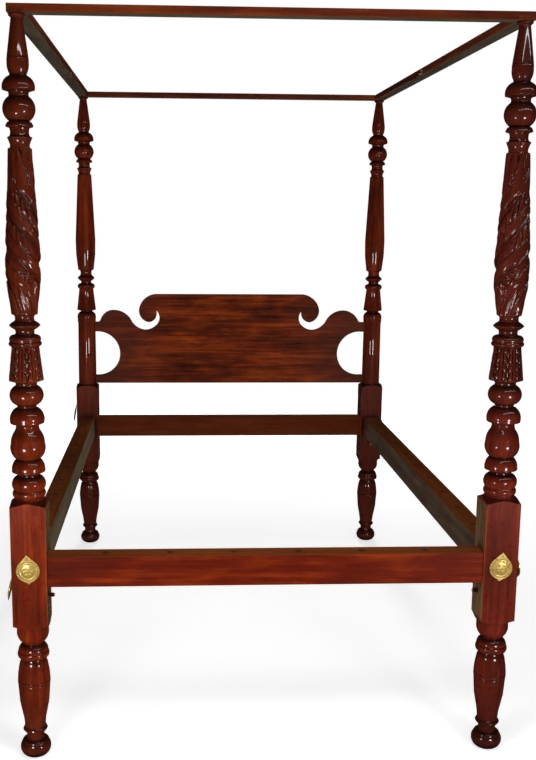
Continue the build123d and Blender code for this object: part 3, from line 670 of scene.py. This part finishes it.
def along(axis, across, with_grain):
    """Texture scale that is small along the grain's axis and large across it."""
    return tuple(with_grain if i == "XYZ".index(axis) else across for i in range(3))


def wood(name, axis, dark, middle, light, gloss=0.75, figure=1.0, raw=None, raw_way=None,
         top=None, hollow_shade=0.0, rough=(0.22, 0.42), shade=None, bare_band=None):
    """Old mahogany: streaked figure, pores, shellac, worn edges, painted shade in hollows and on
    upward faces.

    raw colours the faces that point along raw_way, within bare_band's heights if given, and top
    those that point up. shade is (axis, middle, near, far, colour): painted shade, a darker colour
    that deepens between two distances from a place along an axis.
    """
    n = Nodes(name)
    streak = n.noise(n.place(along(axis, 62.0, 2.4)), detail=6.0, rough=0.66, distortion=0.35)
    broad = n.noise(n.place(along(axis, 9.0, 1.3)), detail=3.0, rough=0.5, distortion=0.8)
    blotch = n.noise(n.place(along(axis, 17.0, 6.0)), detail=5.0, rough=0.62, distortion=0.6)
    fine = n.noise(n.place(along(axis, 420.0, 9.0)), detail=3.0, rough=0.6)
    tone = n.math("ADD", n.math("MULTIPLY", n.span(streak, 0.32, 0.68), 0.36),
                  n.math("MULTIPLY", n.span(broad, 0.30, 0.70), 0.26))
    tone = n.math("ADD", tone, n.math("MULTIPLY", n.span(blotch, 0.3, 0.7), 0.26))
    tone = n.math("ADD", tone, n.math("MULTIPLY", n.span(fine, 0.3, 0.7), 0.12), clamp=True)
    lower = n.mix(n.span(tone, 0.5 - 0.34 * figure, 0.5), dark, middle)
    colour = n.mix(n.span(tone, 0.5, 0.5 + 0.34 * figure), lower, light)
    pore = n.span(n.noise(n.place(along(axis, 900.0, 26.0)), detail=2.0, rough=0.5), 0.60, 0.70)
    colour = n.mix(n.math("MULTIPLY", pore, 0.55), colour, faded(dark, 0.35))
    roughness = n.span(n.noise(n.place((31.0, 31.0, 31.0)), detail=5.0, rough=0.65), 0.3, 0.7, *rough)
    geometry = n.add("ShaderNodeNewGeometry", {}, {})
    where = n.add("ShaderNodeTexCoord", {}, {}).outputs["Object"]
    where = n.add("ShaderNodeSeparateXYZ", {}, {"Vector": where})
    if shade is not None:
        direction, middle_place, near, far, shade_colour = shade
        # painted shade: the colour darkens with distance from the middle place
        reach = n.math("ABSOLUTE", n.math("SUBTRACT", where.outputs[direction], middle_place))
        uneven = n.math("MULTIPLY", n.math("SUBTRACT", broad, 0.5), 0.4 * abs(far - near))
        reach = n.math("ADD", reach, uneven)
        colour = n.mix(n.span(reach, near, far, 0.0, 0.8), colour, shade_colour)
    if top is not None:
        facing = n.add("ShaderNodeSeparateXYZ", {}, {"Vector": geometry.outputs["Normal"]})
        amount = n.span(facing.outputs["Z"], 0.55, 0.85)
        worn = n.mix(n.span(streak, 0.35, 0.65), faded(top, 0.55), top)
        colour = n.mix(amount, colour, worn)
        roughness = n.math("ADD", roughness, n.math("MULTIPLY", amount, 0.16))
    if raw is not None:
        facing = n.add("ShaderNodeVectorMath", {"operation": "DOT_PRODUCT"},
                       {0: geometry.outputs["Normal"], 1: raw_way}).outputs["Value"]
        amount = n.span(facing, 0.6, 0.9)
        if bare_band is not None:
            low, high = bare_band
            amount = n.math("MULTIPLY", amount, n.span(where.outputs["Z"], low, low + 0.004))
            amount = n.math("MULTIPLY", amount, n.span(where.outputs["Z"], high, high - 0.004))
        bare = n.mix(n.span(streak, 0.3, 0.7), faded(raw, 0.5), raw)
        bare = n.mix(n.span(blotch, 0.45, 0.8, 0.0, 0.6), bare, dark)
        colour = n.mix(amount, colour, bare)
        roughness = n.math("ADD", roughness, n.math("MULTIPLY", amount, 0.4))
    if hollow_shade > 0:
        # painted shade: the hollows are darkened by how little light reaches into them
        hollow = n.add("ShaderNodeAmbientOcclusion", {"samples": OCCLUSION_SAMPLES},
                       {"Distance": HOLLOW_REACH})
        amount = n.span(hollow.outputs["AO"], 0.40, 0.90, hollow_shade, 0.0)
        colour = n.mix(amount, colour, linear(14, 4, 2))
        edge = n.span(geometry.outputs["Pointiness"], 0.53, 0.62)
        face = n.add("ShaderNodeSeparateXYZ", {}, {"Vector": geometry.outputs["Normal"]})
        # painted shade: faces that point up are darkened, as the lamps light the posts from below
        upward_shade = n.span(face.outputs["Z"], 0.10, 0.75, 0.0, 0.8)
        colour = n.mix(upward_shade, colour, linear(26, 8, 4))
        for way in "XY":
            square_on = n.math("ABSOLUTE", face.outputs[way])
            edge = n.math("MULTIPLY", edge, n.span(square_on, 0.9995, 0.995))
        edge = n.math("MULTIPLY", edge, n.span(blotch, 0.35, 0.6))
        colour = n.mix(n.math("MULTIPLY", edge, 0.6), colour, linear(172, 74, 22))
        roughness = n.math("ADD", roughness, n.math("MULTIPLY", amount, 0.2))
    n.put(n.shader.inputs["Base Color"], colour)
    n.put(n.shader.inputs["Roughness"], roughness)
    ripple = n.noise(n.place((55.0, 55.0, 55.0)), detail=3.0, rough=0.5)
    relief = n.math("ADD", n.math("MULTIPLY", pore, -0.5), n.math("MULTIPLY", streak, 0.5))
    relief = n.math("ADD", relief, n.math("MULTIPLY", ripple, 0.9))
    n.put(n.shader.inputs["Normal"], n.bump(relief, 0.30, 0.0005))
    n.shader.inputs["Specular IOR Level"].default_value = WOOD_SPECULAR
    n.shader.inputs["Coat Weight"].default_value = gloss
    n.shader.inputs["Coat Roughness"].default_value = COAT_ROUGHNESS
    return n.material


def brass(name, bright, dull, rough, metallic):
    """Brass rubbed bright on its high parts, brown in its hollows."""
    n = Nodes(name)
    cloud = n.noise(n.place((120.0, 120.0, 120.0)), detail=5.0, rough=0.6)
    specks = n.noise(n.place((900.0, 900.0, 900.0)), detail=2.0, rough=0.5)
    hollow = n.add("ShaderNodeAmbientOcclusion", {"samples": OCCLUSION_SAMPLES},
                   {"Distance": BRASS_HOLLOW_REACH})
    dirt = n.span(hollow.outputs["AO"], 0.35, 0.92, 0.95, 0.0)
    dirt = n.math("ADD", dirt, n.span(cloud, 0.55, 0.75, 0.0, 0.45), clamp=True)
    n.put(n.shader.inputs["Base Color"], n.mix(dirt, bright, dull))
    polish = n.span(cloud, 0.3, 0.7, rough, rough + 0.16)
    n.put(n.shader.inputs["Roughness"], n.math("ADD", polish, n.math("MULTIPLY", dirt, 0.25)))
    relief = n.math("ADD", cloud, n.math("MULTIPLY", specks, 0.3))
    n.put(n.shader.inputs["Normal"], n.bump(relief, 0.3, 0.0004))
    n.shader.inputs["Metallic"].default_value = metallic
    return n.material


def iron(name):
    """Dark forged iron with a little rust."""
    n = Nodes(name)
    cloud = n.noise(n.place((160.0, 160.0, 160.0)), detail=6.0, rough=0.7)
    pits = n.noise(n.place((800.0, 800.0, 800.0)), detail=3.0, rough=0.6)
    colour = n.mix(n.span(cloud, 0.45, 0.7), linear(38, 34, 31), linear(78, 46, 30))
    n.put(n.shader.inputs["Base Color"], colour)
    n.put(n.shader.inputs["Roughness"], n.span(cloud, 0.3, 0.7, 0.45, 0.8))
    n.put(n.shader.inputs["Normal"], n.bump(pits, 0.5, 0.0005))
    n.shader.inputs["Metallic"].default_value = 0.75
    return n.material


def plug_wood():
    """Dark end grain of the old plugs."""
    n = Nodes("plug_dark_wood")
    grain = n.noise(n.place((420.0, 420.0, 40.0)), detail=4.0, rough=0.6)
    colour = n.mix(n.span(grain, 0.35, 0.65), linear(28, 24, 24), linear(70, 46, 32))
    n.put(n.shader.inputs["Base Color"], colour)
    n.put(n.shader.inputs["Roughness"], n.span(grain, 0.3, 0.7, 0.55, 0.8))
    n.put(n.shader.inputs["Normal"], n.bump(grain, 0.5, 0.0005))
    return n.material


def paint(node, material):
    """Gives a CAD node a material in all its slots."""
    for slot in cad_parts[node].material_slots:
        slot.material = material


# ---------------------------------------------------------------- the bed
RIGHTWARD = (1.0, 0.0, 0.0)
LEFTWARD = (-1.0, 0.0, 0.0)
HEADWARD = (0.0, 1.0, 0.0)
FOOTWARD = (0.0, -1.0, 0.0)
DOWNWARD = (0.0, 0.0, -1.0)

POST_DARK = linear(50, 13, 5)
RAW_OLIVE = linear(124, 92, 54)
RAW_HEIGHTS = (BLOCK_LOW * MM, BLOCK_HIGH * MM)
# the shade tuples paint shade: the foot posts darken away from the lamps' height, the head posts
# towards the bottom
left_wood = wood("mahogany_post_left", "Z", POST_DARK, linear(106, 30, 3), linear(154, 60, 7),
                 gloss=0.9, hollow_shade=0.95, raw=RAW_OLIVE, raw_way=RIGHTWARD,
                 bare_band=RAW_HEIGHTS, shade=("Z", 0.6, 0.20, 0.60, linear(60, 20, 8)))
right_wood = wood("mahogany_post_right", "Z", POST_DARK, linear(92, 26, 12), linear(126, 42, 18),
                  gloss=0.9, hollow_shade=0.95, raw=RAW_OLIVE, raw_way=LEFTWARD,
                  bare_band=RAW_HEIGHTS, shade=("Z", 0.6, 0.20, 0.58, linear(54, 18, 10)))
head_wood = wood("mahogany_post_head", "Z", linear(44, 11, 4), linear(94, 28, 8), linear(132, 50, 14),
                 gloss=0.9, hollow_shade=0.9, shade=("Z", 1.5, 0.05, 1.20, linear(56, 18, 7)))
foot_post(1, left_wood)
foot_post(-1, right_wood)
head_post(1, head_wood)
head_post(-1, head_wood)

# the board's shade tuple is painted shade, darker towards its ends
board_wood = wood("mahogany_board", "X", linear(42, 13, 3), linear(90, 30, 5), linear(140, 56, 10),
                  gloss=0.0, rough=(0.42, 0.6), figure=0.72,
                  shade=("X", 0.0, 0.30, 0.66, linear(62, 30, 22)))
headboard(board_wood)

RAIL_DARK = linear(56, 10, 1)
RAIL_MIDDLE = linear(88, 20, 1)
RAIL_LIGHT = linear(124, 42, 3)
RAIL_TOP = linear(134, 70, 31)
BARE = linear(108, 94, 68)
rails = {
    "foot_rail": ("X", HEADWARD),
    "head_rail": ("X", FOOTWARD),
    "side_rail_left": ("Y", RIGHTWARD),
    "side_rail_right": ("Y", LEFTWARD),
}
bare_inside = {"head_rail": linear(92, 38, 14), "side_rail_right": linear(88, 68, 50)}
for rail, (axis, inner) in rails.items():
    bare = bare_inside.get(rail, BARE)
    paint(rail, wood(f"mahogany_{rail}", axis, RAIL_DARK, RAIL_MIDDLE, RAIL_LIGHT, gloss=0.06,
                     raw=bare, raw_way=inner, top=RAIL_TOP, rough=(0.32, 0.5)))

tester = {"tester_rail_foot": "X", "tester_rail_head": "X", "tester_rail_left": "Y",
          "tester_rail_right": "Y"}
for rail, axis in tester.items():
    paint(rail, wood(f"mahogany_{rail}", axis, linear(46, 16, 7), linear(80, 30, 12),
                     linear(116, 50, 18), gloss=0.15, raw=linear(76, 65, 50),
                     raw_way=DOWNWARD, rough=(0.32, 0.5)))

plugs = plug_wood()
for place in ("foot", "head", "left", "right"):
    paint(f"rope_peg_plugs_{place}", plugs)

cover_brass = brass("brass_stamped", linear(232, 198, 112), linear(92, 62, 22), 0.22, 0.76)
small_brass = brass("brass_tarnished", linear(206, 172, 98), linear(70, 50, 26), 0.32, 0.8)
dark_iron = iron("iron_forged")
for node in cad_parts:
    if node.startswith("bolt_cover_"):
        paint(node, cover_brass)
for node in ("tester_hook", "cover_nails", "under_rail_peg_tips"):
    paint(node, small_brass)
for node in ("tester_pins", "bed_bolts", "bed_bolt_nuts", "under_rail_pegs"):
    paint(node, dark_iron)

# ---------------------------------------------------------------- floor, backdrop, light
FLOOR_RADIUS = 5.6
SURROUND_RADIUS = 29.0
FLOOR_GLOW = 0.62
FLOOR_GLOW_FROM = 1.2        # the floor glows more with distance, and fully from the second one
FLOOR_GLOW_TO = 5.0
WORLD_GLOW = 0.012


def stage_disc():
    """Wide pale floor with painted light: it glows, and more so with distance."""
    bm = bmesh.new()
    bmesh.ops.create_circle(bm, cap_ends=True, segments=96, radius=FLOOR_RADIUS)
    n = Nodes("floor_pale")
    mottle = n.noise(n.place((1.5, 1.5, 1.5)), detail=2.0)
    n.put(n.shader.inputs["Base Color"], n.mix(mottle, (0.93, 0.93, 0.93, 1), (0.95, 0.95, 0.95, 1)))
    n.shader.inputs["Roughness"].default_value = 0.9
    n.shader.inputs["Specular IOR Level"].default_value = 0.0
    n.shader.inputs["Emission Color"].default_value = WHITE
    coord = n.add("ShaderNodeTexCoord", {}, {}).outputs["Object"]
    far = n.add("ShaderNodeVectorMath", {"operation": "LENGTH"}, {0: coord}).outputs["Value"]
    # painted light: the floor's glow rises with distance until it is as bright as the surround
    glow = n.span(far, FLOOR_GLOW_FROM, FLOOR_GLOW_TO, FLOOR_GLOW, 1.0)
    n.put(n.shader.inputs["Emission Strength"], glow)
    floor_piece = new_piece("stage_floor", bm, n.material, 30)
    floor_piece.visible_glossy = False


def stage_backdrop():
    """White surround that only the camera sees, so the lights alone shape the reflections."""
    bm = bmesh.new()
    bmesh.ops.create_uvsphere(bm, u_segments=64, v_segments=32, radius=SURROUND_RADIUS)
    n = Nodes("backdrop_white")
    n.shader.inputs["Base Color"].default_value = (0.0, 0.0, 0.0, 1.0)
    n.shader.inputs["Specular IOR Level"].default_value = 0.0
    n.shader.inputs["Emission Color"].default_value = WHITE
    n.shader.inputs["Emission Strength"].default_value = 1.0
    surround = new_piece("stage_backdrop", bm, n.material, 180)
    surround.visible_diffuse = False
    surround.visible_glossy = False
    surround.visible_transmission = False
    surround.visible_shadow = False


def softbox(name, where, aim, width, height, power, reflected=True):
    """Rectangular studio light; one that isn't reflected only fills the shadows."""
    data = bpy.data.lights.new(name, "AREA")
    data.shape = "RECTANGLE"
    data.size = width
    data.size_y = height
    data.energy = power
    light = bpy.data.objects.new(name, data)
    light.location = where
    light.rotation_euler = (Vector(aim) - Vector(where)).to_track_quat("-Z", "Y").to_euler()
    light.visible_glossy = reflected
    bpy.context.scene.collection.objects.link(light)


stage_disc()
stage_backdrop()
softbox("lamp_right", (1.33, -2.85, 0.68), (0.0, 0.0, 1.0), 0.42, 0.44, 16)
softbox("lamp_left", (-1.07, -2.35, 0.68), (-0.2, 0.0, 1.0), 0.34, 0.38, 9)
softbox("strip_high", (1.5, -2.4, 3.0), (0.6, 0.0, 1.0), 4.0, 0.08, 14)
softbox("front", (-0.2, -10.0, 1.3), (0.0, 0.0, 1.0), 2.2, 2.0, 185, False)
softbox("board_fill", (0.0, -1.7, 1.5), (0.0, 1.0, 1.0), 0.5, 0.5, 9, False)
softbox("side_right", (4.6, 0.4, 1.6), (0.0, 0.0, 1.0), 1.0, 2.2, 14, False)
softbox("side_left", (-4.6, 0.8, 1.6), (0.0, 0.0, 1.0), 1.0, 2.2, 14, False)
softbox("overhead", (0.0, 0.0, 5.2), (0.0, 0.0, 0.0), 4.0, 5.0, 14, False)
softbox("behind", (0.5, 5.0, 2.2), (0.0, 0.0, 0.9), 0.5, 1.2, 60, False)

world = bpy.data.worlds.new("studio")
world.use_nodes = True
background = world.node_tree.nodes["Background"]
background.inputs["Color"].default_value = WHITE
background.inputs["Strength"].default_value = WORLD_GLOW
bpy.context.scene.world = world
bpy.context.scene.view_settings.view_transform = "Standard"

# ---------------------------------------------------------------- camera
CAMERA_AT = Vector((-0.2679, -3.9008, 1.6151))
YAW = 0.04817
PITCH = 0.17483
ROLL = 0.00686
SENSOR = 36.0
LENS = 48.57
SHIFT_X = 0.0585
SHIFT_Y = 0.0170

camera_data = bpy.data.cameras.new("camera")
camera_data.sensor_width = SENSOR
camera_data.lens = LENS
camera_data.shift_x = SHIFT_X
camera_data.shift_y = SHIFT_Y
camera_data.clip_end = 200.0
camera = bpy.data.objects.new("camera", camera_data)
ahead = Vector((sin(YAW) * cos(PITCH), cos(YAW) * cos(PITCH), -sin(PITCH)))
level = Vector((cos(YAW), -sin(YAW), 0.0))
over = level.cross(ahead)
right = level * cos(ROLL) + over * sin(ROLL)
up = over * cos(ROLL) - level * sin(ROLL)
turned_to = Matrix((right, up, -ahead)).transposed().to_4x4()
camera.matrix_world = Matrix.Translation(CAMERA_AT) @ turned_to
bpy.context.scene.collection.objects.link(camera)
bpy.context.scene.camera = camera
